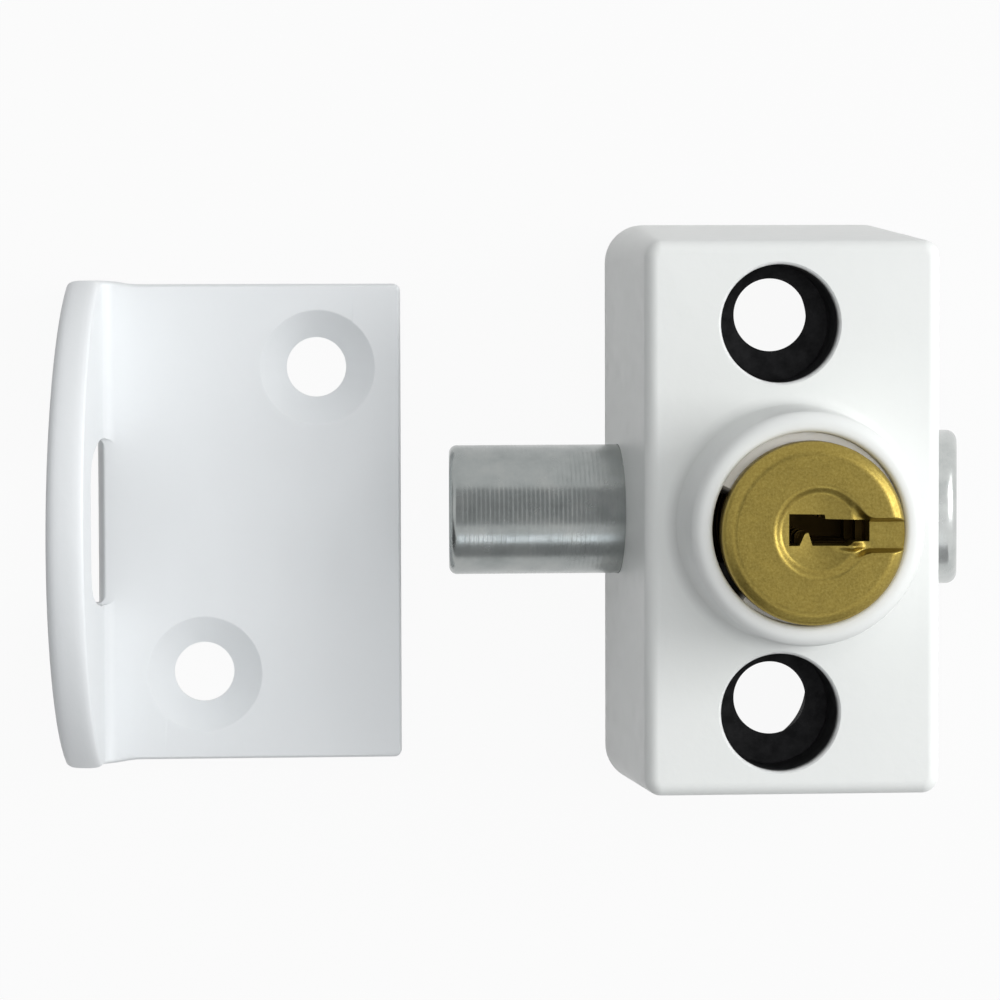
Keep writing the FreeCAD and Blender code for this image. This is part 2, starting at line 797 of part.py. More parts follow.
def keep_plate():
    strip = keep_section().extrude(V(0, keep_height, 0))
    strip.translate(V(0, keep_centre_y - keep_height / 2, 0))
    corners = edges_at(
        strip,
        lambda e: all(abs(v.X - keep_right_x) < 1e-4 for v in e.Vertexes) and abs(e.Length - keep_t) < 1e-4,
    )
    strip = strip.makeFillet(keep_corner_r, corners)
    strip = strip.cut(keep_arch())
    end_z = keep_crown_end()
    level = edges_at(strip, lambda e: all(abs(v.Z - end_z) < 0.02 for v in e.Vertexes))
    horns = [e for e in level if abs(e.CenterOfMass.y - keep_centre_y) > 1]
    strip = strip.makeFillet(keep_horn_r, horns)
    strip = strip.cut(keep_slot())
    sink = keep_countersink_r - keep_hole_r
    for x, y in keep_hole_points():
        strip = strip.cut(rod(keep_hole_r, -1, keep_t + 1, x, y))
        strip = strip.cut(cone(keep_hole_r, keep_countersink_r, keep_t - sink, keep_t, x, y))
    return strip


def save(name, shape):
    solids = shape.Solids
    for solid in solids:
        if not solid.isValid() or solid.Volume <= 0:
            print("NOT VALID:", name)
    kept = solids[0] if len(solids) == 1 else Part.makeCompound(solids)
    kept.exportStep(os.path.join(OUT, name + ".step"))
    bounds = kept.BoundBox
    sides = [round(v, 2) for v in (bounds.XMin, bounds.XMax, bounds.YMin, bounds.YMax, bounds.ZMin, bounds.ZMax)]
    print(f"{name:20s} solids {len(solids)} volume {kept.Volume:9.2f} box {sides}")


save("lock_body", lock_body())
save("back_plate", back_plate())
save("back_plate_screws", back_plate_screws())
save("bolt_stop_pin", bolt_stop_pin())
save("bolt", bolt())
save("return_spring", return_spring())
save("latch_spring", latch_spring())
save("latch_screws", latch_screws())
save("plug_sleeve", plug_sleeve())
save("plug_washer", plug_washer())
save("lock_plug", lock_plug())
for number in range(wafer_count):
    save(f"wafer_{number + 1}", wafer(number))
save("wafer_springs", wafer_springs())
save("lift_cam", lift_cam())
save("cam_screw", cam_screw())
save("keep_plate", keep_plate())
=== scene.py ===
import math

import bmesh
import bpy
from mathutils import Matrix, Vector
from mathutils.geometry import delaunay_2d_cdt

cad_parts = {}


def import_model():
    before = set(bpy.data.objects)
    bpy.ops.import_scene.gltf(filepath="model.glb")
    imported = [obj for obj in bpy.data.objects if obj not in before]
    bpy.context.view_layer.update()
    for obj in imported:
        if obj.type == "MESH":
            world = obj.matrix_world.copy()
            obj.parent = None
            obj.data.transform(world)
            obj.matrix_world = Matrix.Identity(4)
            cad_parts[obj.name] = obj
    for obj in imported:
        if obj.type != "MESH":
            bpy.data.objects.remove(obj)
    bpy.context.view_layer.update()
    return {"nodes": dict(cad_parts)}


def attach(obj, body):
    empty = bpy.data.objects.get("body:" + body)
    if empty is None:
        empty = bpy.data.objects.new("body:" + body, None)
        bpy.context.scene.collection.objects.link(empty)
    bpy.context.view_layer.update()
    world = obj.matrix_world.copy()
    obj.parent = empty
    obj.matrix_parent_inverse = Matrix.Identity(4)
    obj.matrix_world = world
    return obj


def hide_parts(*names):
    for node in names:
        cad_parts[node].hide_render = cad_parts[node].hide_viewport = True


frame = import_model()

# Lengths are in millimetres from the middle of the lock body's mounting face, angles in degrees.
MM = 0.001
HALF_TURN = math.pi

BODY_DEPTH = 22.7
CYLINDER_Y = -0.35
BOLT_Z = 7.2

# how finely rounds are drawn
LARGE_ROUND = 144
SMALL_ROUND = 96
CORNER_STEPS = 14


# Meshes


def link(name, mesh):
    obj = bpy.data.objects.new(name, mesh)
    bpy.context.scene.collection.objects.link(obj)
    return obj


def mesh_object(name, points, faces):
    mesh = bpy.data.meshes.new(name)
    mesh.from_pydata([(x * MM, y * MM, z * MM) for x, y, z in points], [], faces)
    mesh.validate()
    obj = link(name, mesh)
    weld(obj)
    return obj


def weld(obj):
    # points that coincide become one, and all faces look outwards
    same_place = 1e-7
    bm = bmesh.new()
    bm.from_mesh(obj.data)
    bmesh.ops.remove_doubles(bm, verts=bm.verts, dist=same_place)
    bmesh.ops.recalc_face_normals(bm, faces=bm.faces)
    bm.to_mesh(obj.data)
    bm.free()


def soften(obj, angle):
    # smooth shading, with hard edges where the surface turns by more than an angle
    obj.data.shade_smooth()
    obj.data.set_sharp_from_angle(angle=math.radians(angle))


def smooth(obj, angle):
    soften(obj, angle)
    weighted = obj.modifiers.new("even_normals", "WEIGHTED_NORMAL")
    weighted.keep_sharp = True
    weighted.mode = "FACE_AREA"


def settle(obj):
    # the object's mesh becomes what its modifiers make of it
    bpy.context.view_layer.update()
    graph = bpy.context.evaluated_depsgraph_get()
    mesh = bpy.data.meshes.new_from_object(obj.evaluated_get(graph))
    old = obj.data
    obj.modifiers.clear()
    obj.data = mesh
    bpy.data.meshes.remove(old)


def combine(obj, tool, operation="DIFFERENCE"):
    step = obj.modifiers.new("step", "BOOLEAN")
    step.operation = operation
    step.solver = "EXACT"
    step.object = tool
    settle(obj)
    bpy.data.objects.remove(tool)


def ring(radius, z, count, x=0.0, y=0.0):
    turns = [2 * HALF_TURN * i / count for i in range(count)]
    return [(x + radius * math.cos(a), y + radius * math.sin(a), z) for a in turns]


def skin(rings, closed_start=True, closed_end=True):
    # faces between rings of equal length; the ends are single faces
    count = len(rings[0])
    points = [p for loop in rings for p in loop]
    faces = []
    for level in range(len(rings) - 1):
        low = level * count
        high = low + count
        for i in range(count):
            j = (i + 1) % count
            faces.append((low + i, low + j, high + j, high + i))
    if closed_start:
        faces.append(tuple(reversed(range(count))))
    if closed_end:
        faces.append(tuple(range(len(points) - count, len(points))))
    return points, faces


def turned(name, outline, count, x=0.0, y=0.0):
    # outline of (radius, z), turned about a line along Z
    points, faces = skin([ring(r, z, count, x, y) for r, z in outline])
    return mesh_object(name, points, faces)


def turned_x(name, outline, count, z):
    # outline of (radius, x), turned about a line along X
    obj = turned(name, outline, count)
    swap = Matrix(((0, 0, 1, 0), (0, 1, 0, 0), (-1, 0, 0, z * MM), (0, 0, 0, 1)))
    obj.data.transform(swap)
    weld(obj)
    return obj


def arc(centre, radius, start, end, count):
    # points of an arc as (across, up), with its angles from the first axis
    points = []
    for i in range(count + 1):
        a = math.radians(start + (end - start) * i / count)
        points.append((centre[0] + radius * math.cos(a), centre[1] + radius * math.sin(a)))
    return points


def prism(name, loop, z0, z1):
    points, faces = skin([[(x, y, z) for x, y in loop] for z in (z0, z1)])
    return mesh_object(name, points, faces)


def block(name, x0, x1, y0, y1, z0, z1):
    return prism(name, [(x0, y0), (x1, y0), (x1, y1), (x0, y1)], z0, z1)


def rounded_loop(half_x, half_y, radius, x=0.0, y=0.0):
    loop = []
    for turn, (sx, sy) in enumerate(((1, 1), (-1, 1), (-1, -1), (1, -1))):
        centre = (x + sx * (half_x - radius), y + sy * (half_y - radius))
        loop += arc(centre, radius, 90 * turn, 90 * turn + 90, CORNER_STEPS)
    return loop


def inside(loop, x, y):
    # whether a place lies inside a closed loop
    within = False
    for i, (x1, y1, *_) in enumerate(loop):
        x0, y0 = loop[i - 1][:2]
        if (y0 > y) != (y1 > y) and x < x0 + (x1 - x0) * (y - y0) / (y1 - y0):
            within = not within
    return within


def fill_between(outer, inner, z):
    # flat face between an outer loop and inner loops, as triangles
    inner_triangles = 1
    near = 1e-6
    loops = [outer] + inner
    flat = [Vector((p[0], p[1])) for loop in loops for p in loop]
    edges = []
    start = 0
    for loop in loops:
        n = len(loop)
        edges += [(start + i, start + (i + 1) % n) for i in range(n)]
        start += n
    verts, _, faces, _, _, _ = delaunay_2d_cdt(flat, edges, [], inner_triangles, near)
    kept = []
    for face in faces:
        x = sum(verts[i].x for i in face) / len(face)
        y = sum(verts[i].y for i in face) / len(face)
        if inside(outer, x, y) and not any(inside(loop, x, y) for loop in inner):
            kept.append(tuple(face))
    return [(v.x, v.y, z) for v in verts], kept


def joined(name, parts):
    points = []
    faces = []
    for part_points, part_faces in parts:
        base = len(points)
        points += part_points
        faces += [tuple(base + i for i in f) for f in part_faces]
    return mesh_object(name, points, faces)


def ease(t):
    # 0 below 0, 1 above 1 and a soft slope between them
    t = max(0.0, min(1.0, t))
    return t * t * (3 - 2 * t)


# Surfaces


def shader(name, color, roughness, metallic=0.0, specular=0.5):
    mat = bpy.data.materials.new(name)
    mat.use_nodes = True
    tree = mat.node_tree
    bsdf = tree.nodes["Principled BSDF"]
    bsdf.inputs["Base Color"].default_value = (*color, 1)
    bsdf.inputs["Roughness"].default_value = roughness
    bsdf.inputs["Metallic"].default_value = metallic
    bsdf.inputs["Specular IOR Level"].default_value = specular
    return mat, tree, bsdf


def coords(tree, stretch=(1, 1, 1)):
    place = tree.nodes.new("ShaderNodeTexCoord")
    mapping = tree.nodes.new("ShaderNodeMapping")
    mapping.inputs["Scale"].default_value = stretch
    tree.links.new(place.outputs["Object"], mapping.inputs["Vector"])
    return mapping.outputs["Vector"]


def noise(tree, vector, scale, detail=4, rough=0.55):
    node = tree.nodes.new("ShaderNodeTexNoise")
    node.inputs["Scale"].default_value = scale
    node.inputs["Detail"].default_value = detail
    node.inputs["Roughness"].default_value = rough
    tree.links.new(vector, node.inputs["Vector"])
    return node.outputs["Fac"]


def color_from(tree, bsdf, fac, stops):
    # stops are (place, colour)
    node = tree.nodes.new("ShaderNodeValToRGB")
    band = node.color_ramp
    while len(band.elements) < len(stops):
        band.elements.new(0.5)
    for element, (place, color) in zip(band.elements, stops):
        element.position = place
        element.color = (*color, 1)
    tree.links.new(fac, node.inputs["Fac"])
    tree.links.new(node.outputs["Color"], bsdf.inputs["Base Color"])
    return node.outputs["Color"]


def span(tree, value, low, high, to_low=0.0, to_high=1.0):
    # a value between low and high becomes one between to_low and to_high
    node = tree.nodes.new("ShaderNodeMapRange")
    node.inputs["From Min"].default_value = low
    node.inputs["From Max"].default_value = high
    node.inputs["To Min"].default_value = to_low
    node.inputs["To Max"].default_value = to_high
    tree.links.new(value, node.inputs["Value"])
    return node


def gloss_from(tree, bsdf, fac, sharpest, dullest):
    spread = span(tree, fac, 0.3, 0.7, sharpest, dullest)
    tree.links.new(spread.outputs["Result"], bsdf.inputs["Roughness"])


def bump(tree, bsdf, height, distance, strength, below=None):
    node = tree.nodes.new("ShaderNodeBump")
    node.inputs["Distance"].default_value = distance
    node.inputs["Strength"].default_value = strength
    tree.links.new(height, node.inputs["Height"])
    if below is not None:
        tree.links.new(below, node.inputs["Normal"])
    tree.links.new(node.outputs["Normal"], bsdf.inputs["Normal"])
    return node.outputs["Normal"]


def height_above_back(tree, at):
    split = tree.nodes.new("ShaderNodeSeparateXYZ")
    tree.links.new(at, split.inputs[0])
    return split.outputs["Z"]


def powder_coat(name, dull, bright):
    mat, tree, bsdf = shader(name, bright, roughness=0.38, specular=0.28)
    at = coords(tree)
    color_from(tree, bsdf, noise(tree, at, scale=60, detail=3), ((0.3, dull), (0.7, bright)))
    gloss_from(tree, bsdf, noise(tree, at, scale=700, detail=2), 0.34, 0.44)
    peel = noise(tree, at, scale=1100, detail=2, rough=0.4)
    grain = noise(tree, at, scale=5200, detail=2, rough=0.5)
    below = bump(tree, bsdf, peel, distance=0.00003, strength=0.5)
    bump(tree, bsdf, grain, distance=0.000006, strength=0.4, below=below)
    return mat


def hole_black():
    # bare dark casting down the screw holes, with paint that fades out below their mouths
    dark = (0.014, 0.014, 0.015)
    worn = (0.036, 0.036, 0.038)
    paint = (0.86, 0.87, 0.86, 1)
    paint_start = BODY_DEPTH - 0.9
    paint_full = BODY_DEPTH + 0.45
    raggedness = 0.0006
    mat, tree, bsdf = shader("screw_hole_black", dark, roughness=0.7, specular=0.12)
    at = coords(tree)
    blotches = noise(tree, at, scale=900, detail=5, rough=0.6)
    shade = color_from(tree, bsdf, blotches, ((0.35, dark), (0.7, worn)))
    ragged = tree.nodes.new("ShaderNodeMath")
    ragged.operation = "MULTIPLY_ADD"
    ragged.inputs[1].default_value = raggedness
    tree.links.new(noise(tree, at, scale=1200, detail=4, rough=0.6), ragged.inputs[0])
    tree.links.new(height_above_back(tree, at), ragged.inputs[2])
    reach = span(tree, ragged.outputs[0], paint_start * MM, paint_full * MM)
    reach.interpolation_type = "SMOOTHSTEP"
    mix = tree.nodes.new("ShaderNodeMix")
    mix.data_type = "RGBA"
    mix.inputs["B"].default_value = paint
    tree.links.new(reach.outputs["Result"], mix.inputs["Factor"])
    tree.links.new(shade, mix.inputs["A"])
    tree.links.new(mix.outputs["Result"], bsdf.inputs["Base Color"])
    pits = noise(tree, at, scale=2600, detail=4, rough=0.6)
    bump(tree, bsdf, pits, distance=0.00005, strength=0.7)
    return mat


def turned_zinc(name, dark, middle, light):
    # zinc plate over turned steel: scratches round the bolt and soft clouds in the plating
    mat, tree, bsdf = shader(name, middle, roughness=0.26, metallic=1.0)
    at = coords(tree)
    cloud = noise(tree, at, scale=420, detail=5, rough=0.6)
    scratch = noise(tree, coords(tree, (1, 0.3, 0.3)), scale=5000, detail=3, rough=0.6)
    color_from(tree, bsdf, cloud, ((0.3, dark), (0.5, middle), (0.75, light)))
    gloss_from(tree, bsdf, noise(tree, at, scale=900, detail=3), 0.2, 0.28)
    fine = bump(tree, bsdf, scratch, distance=0.000006, strength=0.3)
    bump(tree, bsdf, cloud, distance=0.00002, strength=0.16, below=fine)
    return mat


def plain_metal(name, color, sharpest, dullest):
    darkest = 0.82
    lightest = 1.1
    mat, tree, bsdf = shader(name, color, roughness=(sharpest + dullest) / 2, metallic=1.0)
    at = coords(tree)
    dark = tuple(c * darkest for c in color)
    light = tuple(min(1, c * lightest) for c in color)
    color_from(tree, bsdf, noise(tree, at, scale=320), ((0.3, dark), (0.72, light)))
    gloss_from(tree, bsdf, noise(tree, at, scale=900, detail=3), sharpest, dullest)
    brushed = noise(tree, coords(tree, (1, 0.15, 0.4)), scale=4000, detail=3)
    bump(tree, bsdf, brushed, distance=0.00001, strength=0.5)
    return mat


def brass():
    mat, tree, bsdf = shader("worn_brass", (0.45, 0.35, 0.09), roughness=0.38, metallic=1.0)
    at = coords(tree)
    stops = (
        (0.28, (0.24, 0.18, 0.044)),
        (0.46, (0.3, 0.226, 0.055)),
        (0.62, (0.35, 0.27, 0.07)),
        (0.8, (0.43, 0.34, 0.098)),
    )
    color_from(tree, bsdf, noise(tree, at, scale=5200, detail=5, rough=0.65), stops)
    gloss_from(tree, bsdf, noise(tree, at, scale=900, detail=4), 0.32, 0.44)
    sand = noise(tree, at, scale=9000, detail=3, rough=0.6)
    waves = noise(tree, at, scale=2600, detail=3, rough=0.5)
    grain = bump(tree, bsdf, sand, distance=0.00001, strength=0.8)
    bump(tree, bsdf, waves, distance=0.00002, strength=0.25, below=grain)
    return mat


def sleeve_zinc_painted_shade():
    # bright zinc at the sleeve's rim; further down it is painted black, a painted shade for the deep gap
    # and notch round the plug
    deep_painted_shade = (0.008, 0.007, 0.006)
    painted_half_shade = (0.05, 0.045, 0.04)
    bright = (0.78, 0.77, 0.74)
    painted_shade_top = 28.9
    bright_from = 29.4
    mat, tree, bsdf = shader("sleeve_zinc_painted_shade", (0.7, 0.7, 0.68), roughness=0.4, metallic=0.6)
    at = coords(tree)
    # from the rim downwards the colour fades to black: painted shade for the depth of the gap
    depth = span(tree, height_above_back(tree, at), painted_shade_top * MM, bright_from * MM)
    color_from(tree, bsdf, depth.outputs["Result"], ((0.0, deep_painted_shade), (0.5, painted_half_shade), (1.0, bright)))
    gloss_from(tree, bsdf, noise(tree, at, scale=1500, detail=4), 0.3, 0.5)
    bump(tree, bsdf, noise(tree, at, scale=5000, detail=3), distance=0.00001, strength=0.6)
    return mat


COAT = powder_coat("white_powder_coat", (0.835, 0.85, 0.83), (0.862, 0.874, 0.856))
COOL = powder_coat("white_powder_coat_keep", (0.87, 0.89, 0.9), (0.89, 0.908, 0.918))
BLACK = hole_black()
BOLT = turned_zinc("bolt_turned_zinc", (0.285, 0.305, 0.3), (0.33, 0.35, 0.345), (0.38, 0.395, 0.385))
# the button end of the same turned piece gets a lighter copy of the bolt's zinc: painted light for the
# brighter light it catches on the right
BUTTON_ZINC_PAINTED_LIGHT = turned_zinc("button_zinc_painted_light", (0.46, 0.49, 0.48), (0.55, 0.57, 0.56), (0.62, 0.64, 0.63))
ZINC = plain_metal("bright_zinc", (0.62, 0.63, 0.64), 0.24, 0.42)
SPRING = plain_metal("drawn_spring_steel", (0.36, 0.36, 0.38), 0.28, 0.45)
BRASS = brass()
SLEEVE = sleeve_zinc_painted_shade()
# near black steel for the cam and its screw: painted shade for the depth of the keyway
STEEL_PAINTED_SHADE = plain_metal("steel_painted_shade", (0.012, 0.01, 0.008), 0.45, 0.6)
# dark brown brass for the plug barrel and wafers: painted shade for the depth of the keyway
BRASS_PAINTED_SHADE = plain_metal("brass_painted_shade", (0.085, 0.055, 0.016), 0.35, 0.55)


def dress(obj, *mats):
    obj.data.materials.clear()
    for mat in mats:
        obj.data.materials.append(mat)


# Lock body


BASE_HALF_X = 11.8
BASE_HALF_Y = 22.1
BASE_CORNER = 3.0
DRAFT_X = 0.75
DRAFT_Y = 1.45
CORNER_DRAFT = 1.8
LEAST_CORNER = 0.25
BACK_EDGE = 0.25
FACE_EDGE = 0.95
SIDE_STEPS = 8

COLLAR_FOOT_R = 8.85
COLLAR_FOOT_BLEND = 0.9
COLLAR_R = 8.6
COLLAR_BORE = 7.05
COLLAR_FLOOR = 18.25
RIM_Z = 30.7
RIM_OUTER = 1.05
RIM_INNER = 0.4

SCREW_POINTS = ((-1.0, 14.5), (-1.0, -14.5))
HEAD_BORE_R = 4.4
HEAD_BORE_FLOOR = BODY_DEPTH - 5.7
HEAD_BORE_EDGE = 0.3
CORE_R = 4.8
CORE_RIGHT = 0.5
CORE_TOP = HEAD_BORE_FLOOR - 2.5
WEB_R = 2.74
WEB_BACK_R = 3.3
WEB_UP = 0.6

NOSE_BORE_R = 5.04
BUTTON_BORE_R = 6.05


def body_loop(z, inset):
    share = min(z, BODY_DEPTH) / BODY_DEPTH
    half_x = BASE_HALF_X - DRAFT_X * share - inset
    half_y = BASE_HALF_Y - DRAFT_Y * share - inset
    radius = BASE_CORNER - CORNER_DRAFT * share - inset
    return rounded_loop(half_x, half_y, max(radius, LEAST_CORNER))


def body_levels():
    # heights with their inset: rounded back edge, drafted sides, rounded face edge
    levels = [(0.0, BACK_EDGE)]
    for inset, dz in arc((BACK_EDGE, 0.0), BACK_EDGE, 210, 180, 3):
        levels.append((BACK_EDGE + dz, inset))
    levels += [(BODY_DEPTH * i / SIDE_STEPS, 0.0) for i in range(1, SIDE_STEPS)]
    for inset, dz in arc((FACE_EDGE, 0.0), FACE_EDGE, 180, 90, 8):
        levels.append((BODY_DEPTH - FACE_EDGE + dz, inset))
    return levels


def collar_outline():
    # foot blend, flank, rounded rim and bore
    foot = BODY_DEPTH + COLLAR_FOOT_BLEND
    flank_top = RIM_Z - RIM_OUTER
    outline = arc((COLLAR_FOOT_R + COLLAR_FOOT_BLEND, foot), COLLAR_FOOT_BLEND, 270, 180, 8)
    for share in (1 / 3, 2 / 3):
        radius = COLLAR_FOOT_R + (COLLAR_R - COLLAR_FOOT_R) * share
        outline.append((radius, foot + (flank_top - foot) * share))
    outline += arc((COLLAR_R - RIM_OUTER, flank_top), RIM_OUTER, 0, 90, 10)
    outline += arc((COLLAR_BORE + RIM_INNER, RIM_Z - RIM_INNER), RIM_INNER, 90, 180, 6)
    outline += [(COLLAR_BORE, z) for z in (29.0, 24.0, COLLAR_FLOOR)]
    return outline


def cut_screw_hole(body, x, y):
    past_face = 0.4
    edge_z = BODY_DEPTH - HEAD_BORE_EDGE
    bore = [(HEAD_BORE_R, HEAD_BORE_FLOOR), (HEAD_BORE_R, edge_z)]
    for a in (0.3, 0.6, 0.9, 1.2):
        radius = HEAD_BORE_R + HEAD_BORE_EDGE * (1 - math.cos(a))
        bore.append((radius, edge_z + HEAD_BORE_EDGE * math.sin(a)))
    bore.append((bore[-1][0] + 0.15, BODY_DEPTH + past_face))
    combine(body, turned("bore", bore, SMALL_ROUND, x, y))
    core = [(CORE_R, -1), (CORE_R, CORE_TOP)]
    combine(body, turned("core", core, SMALL_ROUND, x + CORE_RIGHT, y))
    web = [(WEB_BACK_R, HEAD_BORE_FLOOR - 3), (WEB_R, HEAD_BORE_FLOOR), (WEB_R, BODY_DEPTH)]
    combine(body, turned("web", web, SMALL_ROUND, x, y + WEB_UP))


def cut_mechanism_rooms(body):
    nose_bore = [(NOSE_BORE_R, -13.0), (NOSE_BORE_R, -8.0)]
    button_bore = [(BUTTON_BORE_R, 8.0), (BUTTON_BORE_R, 13.0)]
    combine(body, turned_x("nose_bore", nose_bore, SMALL_ROUND, BOLT_Z))
    combine(body, turned_x("head_bore", button_bore, SMALL_ROUND, BOLT_Z))
    combine(body, block("pocket", -9.5, 9.3, -8.3, 8.3, -1, 16.6))
    # the back plate's recess is bitten away round the screw cores
    bite_r = 5.65
    recess = prism("recess", rounded_loop(10.925, 12.35, 1.5, 0.475), -1, 0.8)
    for x, y in SCREW_POINTS:
        combine(recess, turned("bite", [(bite_r, -2), (bite_r, 2)], 64, x + CORE_RIGHT, y))
    combine(body, recess)


def blacken_screw_holes(body):
    for face in body.data.polygons:
        c = face.center / MM
        for x, y in SCREW_POINTS:
            in_bore = math.hypot(c.x - x, c.y - y) < HEAD_BORE_R + 0.35
            in_core = math.hypot(c.x - x - CORE_RIGHT, c.y - y) < CORE_R + 0.05
            if in_bore and 14.0 < c.z < BODY_DEPTH - 0.03:
                face.material_index = 1
            elif in_core and 0.3 < c.z < 15.0:
                face.material_index = 1


def lock_body():
    rings = [[(x, y, z) for x, y in body_loop(z, inset)] for z, inset in body_levels()]
    sides = skin(rings, True, False)
    rims = [ring(r, z, LARGE_ROUND, 0, CYLINDER_Y) for r, z in collar_outline()]
    wall = skin(rims, False, True)
    face = fill_between(rings[-1], [rims[0]], BODY_DEPTH)
    body = joined("lock_casting", [sides, wall, face])
    for x, y in SCREW_POINTS:
        cut_screw_hole(body, x, y)
    cut_mechanism_rooms(body)
    weld(body)
    dress(body, COAT, BLACK)
    blacken_screw_holes(body)
    smooth(body, 32)
    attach(body, "housing")
    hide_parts("lock_body")


# Bolt and button


BOLT_R = 5.0
BUTTON_R = 6.0
NECK_R = 4.8
TIP = -24.66
TIP_ROUND = 0.6
SHOULDER = -4.3
NECK_START = 4.0
NECK_END = 6.4
END = 15.15
END_ROUND = 0.85
END_LEAN = 0.184
TIP_LEAN = 0.067
RING_PITCH = 0.35
RING_DEPTH = 0.008


def turning_rings():
    # fine rings left by turning, which fade out towards the body
    outline = []
    x = TIP + TIP_ROUND + 0.05
    index = 0
    while x < SHOULDER - RING_PITCH:
        fade = 1 - ease((x + 16.5) / 4)
        depth = (RING_DEPTH + 0.0015 * math.sin(index * 2.4)) * fade
        for share in (0.0, 0.17, 0.33, 0.5, 0.67, 0.83):
            hollow = depth * math.sin(share * HALF_TURN) ** 2
            outline.append((BOLT_R - hollow, x + RING_PITCH * share))
        x += RING_PITCH
        index += 1
    return outline


def bolt_outline():
    chamfer = 0.3
    centre = 0.02
    outline = [(centre, TIP), (4.2, TIP)]
    outline += arc((BOLT_R - TIP_ROUND, TIP + TIP_ROUND), TIP_ROUND, 270, 360, 8)
    outline += turning_rings()
    outline += [(BOLT_R, SHOULDER), (BUTTON_R - chamfer, SHOULDER)]
    outline += [(BUTTON_R, SHOULDER + chamfer), (BUTTON_R, NECK_START)]
    outline += [(NECK_R, NECK_START), (NECK_R, NECK_END)]
    outline += [(BUTTON_R, NECK_END), (BUTTON_R, 11.5)]
    outline += arc((BUTTON_R - END_ROUND, END - END_ROUND), END_ROUND, 0, 90, 12)
    outline += [(centre, END)]
    return outline


def lean_ends(piece):
    # both ends lean to the left towards their near side
    blend = 0.6
    for vert in piece.data.vertices:
        up = vert.co.z / MM - BOLT_Z
        if vert.co.x > 12 * MM:
            vert.co.x -= END_LEAN * (up + math.hypot(up, blend)) / 2 * MM
        elif vert.co.x < (TIP + TIP_ROUND + 0.02) * MM:
            vert.co.x -= TIP_LEAN * up * MM


def bolt():
    bright_from = 6.5
    piece = turned_x("bolt_and_button", bolt_outline(), LARGE_ROUND, BOLT_Z)
    lean_ends(piece)
    combine(piece, block("stop_slot", -3.7, 11.4, -0.85, 0.85, 0, 2.95))
    dress(piece, BOLT, BUTTON_ZINC_PAINTED_LIGHT)
    # faces beyond bright_from take the lighter zinc, painted light on the button end
    for face in piece.data.polygons:
        if face.center.x > bright_from * MM:
            face.material_index = 1
    smooth(piece, 35)
    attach(piece, "bolt")
    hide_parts("bolt")


# Key cylinder


PLUG_X = 0.2
PLUG_Y = CYLINDER_Y - 0.25
PLUG_FACE = 32.2
HEAD_R = 6.68
FACE_R = 5.83
BEVEL_SLOPE = 0.62
HEAD_EDGE = 0.28
DISH_X = 0.4
DISH_Y = 0.1
DISH_R = 3.42
DISH_WALL = 0.42
BOWL = 0.4
BOWL_REACH = 3.4
GROOVE_Y = -0.15
GROOVE_HALF = 1.28
GROOVE_START = 2.4
GROOVE_EXTRA = 0.51
BARREL_TOP = 29.35


def blend_low(a, b, r):
    # the lower of two values, with a fillet where they meet
    gap = max(r - abs(a - b), 0.0) / r
    return min(a, b) - gap * gap * r * 0.25


def head_depth(x, y):
    # how deep the plug's face lies below its top at a place measured from the plug's centre
    r = math.hypot(x, y)
    edge_roll = 0.12 * (max(r - HEAD_R + HEAD_EDGE, 0.0) / HEAD_EDGE) ** 2
    bevel = -blend_low(0.0, (FACE_R - r) * BEVEL_SLOPE, 0.12) + edge_roll
    dish = math.hypot(x - DISH_X, y - DISH_Y) - DISH_R
    groove = max(abs(y - GROOVE_Y) - GROOVE_HALF, GROOVE_START - x)
    rim = blend_low(dish, groove, 0.9)
    # the groove's walls are deeper and steeper than the dish's
    steep = ease((x - 2.6) / 1.2)
    width = 0.8 - 0.4 * steep
    bowl = BOWL * (1 - ease(0.5 + (dish + BOWL_REACH / 2) / BOWL_REACH))
    hollow = (DISH_WALL + GROOVE_EXTRA * steep) * ease(0.12 - rim / width) + bowl * (1 - steep)
    # a lip stands at the lower corner where the groove leaves the dish
    lip = 0.4 * math.exp(-(((x - 2.7) / 0.8) ** 2) - ((y + 0.98) / 0.26) ** 2)
    hollow = max(hollow - lip, 0.0)
    return -blend_low(-bevel, -hollow, 0.2)


def keyway_loop():
    # a slot with a pointed ward below, wider at its right end
    return (
        (-1.64, -1.15),
        (-0.86, -1.15),
        (-0.45, -0.28),
        (-0.2, -0.2),
        (0.1, -1.15),
        (2.6, -1.15),
        (3.1, -0.86),
        (4.3, -0.86),
        (4.3, 0.72),
        (1.05, 0.8),
        (0.98, 1.12),
        (-1.64, 1.18),
    )


def plug_head():
    radial = 150
    around = 720
    rings = []
    for step in range(radial + 1):
        r = HEAD_R * (step + 0.4) / (radial + 0.4)
        loop = []
        for i in range(around):
            a = 2 * HALF_TURN * i / around
            x = r * math.cos(a)
            y = r * math.sin(a)
            loop.append((x + PLUG_X, y + PLUG_Y, PLUG_FACE - head_depth(x, y)))
        rings.append(loop)
    rings.append(ring(HEAD_R, 29.75, around, PLUG_X, PLUG_Y))
    rings.append(ring(6.0, 29.66, around, 0, CYLINDER_Y))
    rings.append(ring(5.98, 29.3, around, 0, CYLINDER_Y))
    head = mesh_object("plug_head", *skin(rings))
    loop = [(x, y + CYLINDER_Y) for x, y in keyway_loop()]
    combine(head, prism("keyway", loop, 20, 40))
    dress(head, BRASS)
    smooth(head, 60)
    return head


